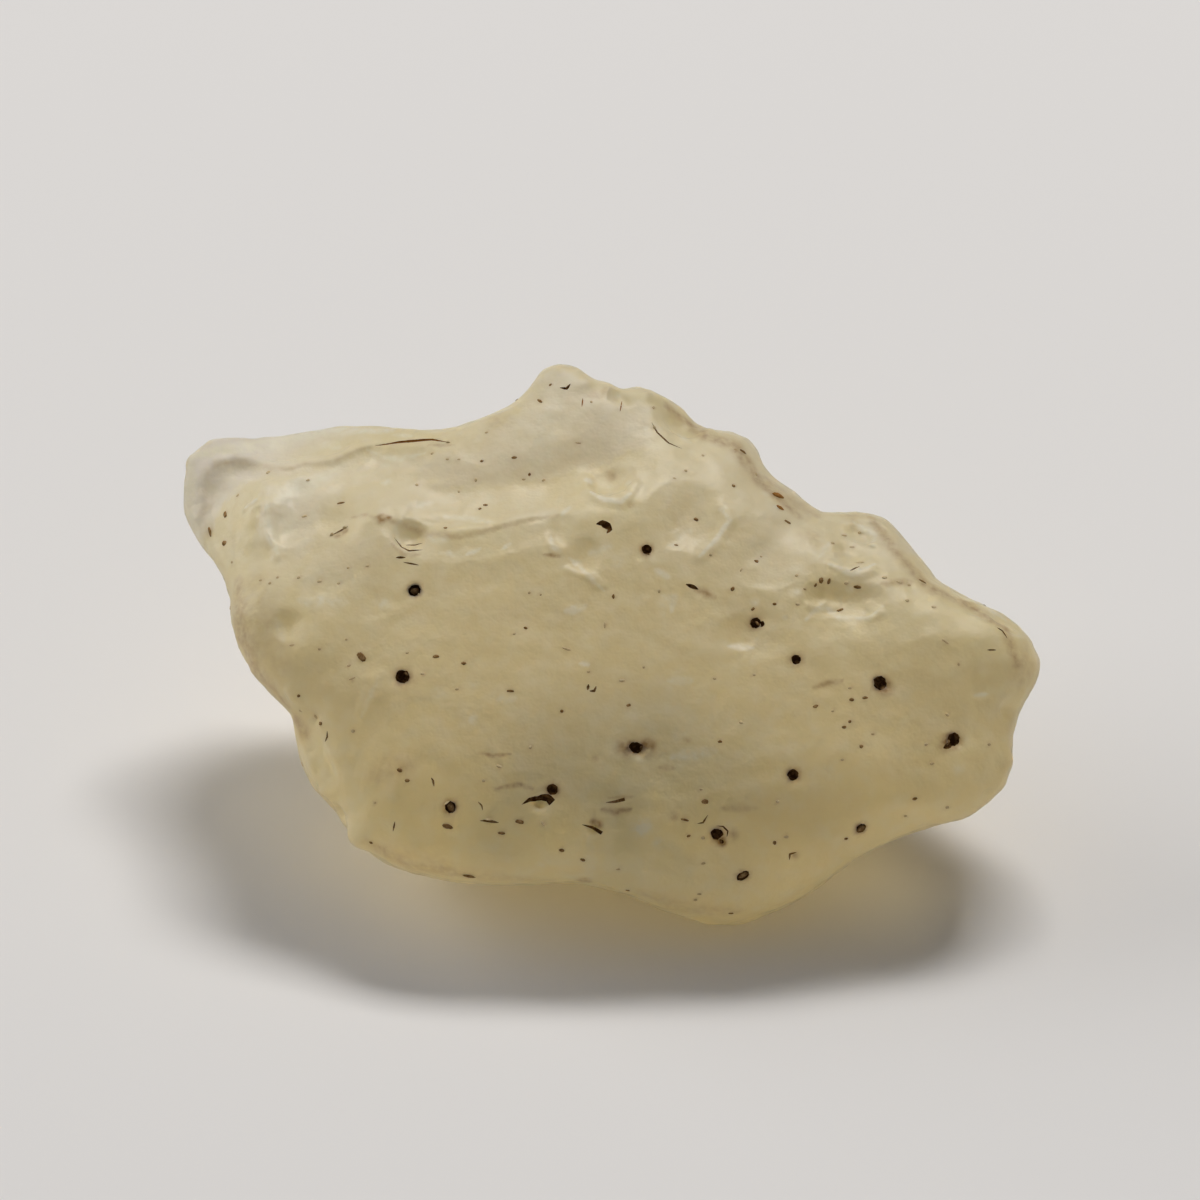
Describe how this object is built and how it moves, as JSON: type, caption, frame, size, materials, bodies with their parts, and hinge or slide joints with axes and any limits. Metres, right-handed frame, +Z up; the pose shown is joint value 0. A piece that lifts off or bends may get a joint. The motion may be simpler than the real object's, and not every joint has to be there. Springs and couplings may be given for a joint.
{
  "type": "piece of libyan desert glass",
  "caption": "Natural glass lump: a leaning, wind-worn slab with a ledge, a back lobe, scallops and burst-bubble pits.",
  "frame": {"origin": "on the resting face's plane, under the middle of the lump's box", "axes": "+Z up as the lump rests, +X along its length towards its tapered tip; the broad face looks along -Y and upward"},
  "size_m": [0.045, 0.027, 0.0203],
  "materials": {
    "desert_glass": "matt, frosted by wind; pale straw yellow, milky and translucent"
  },
  "bodies": {
    "root": {"desert_glass": "desert_glass"}
  },
  "joints": []
}
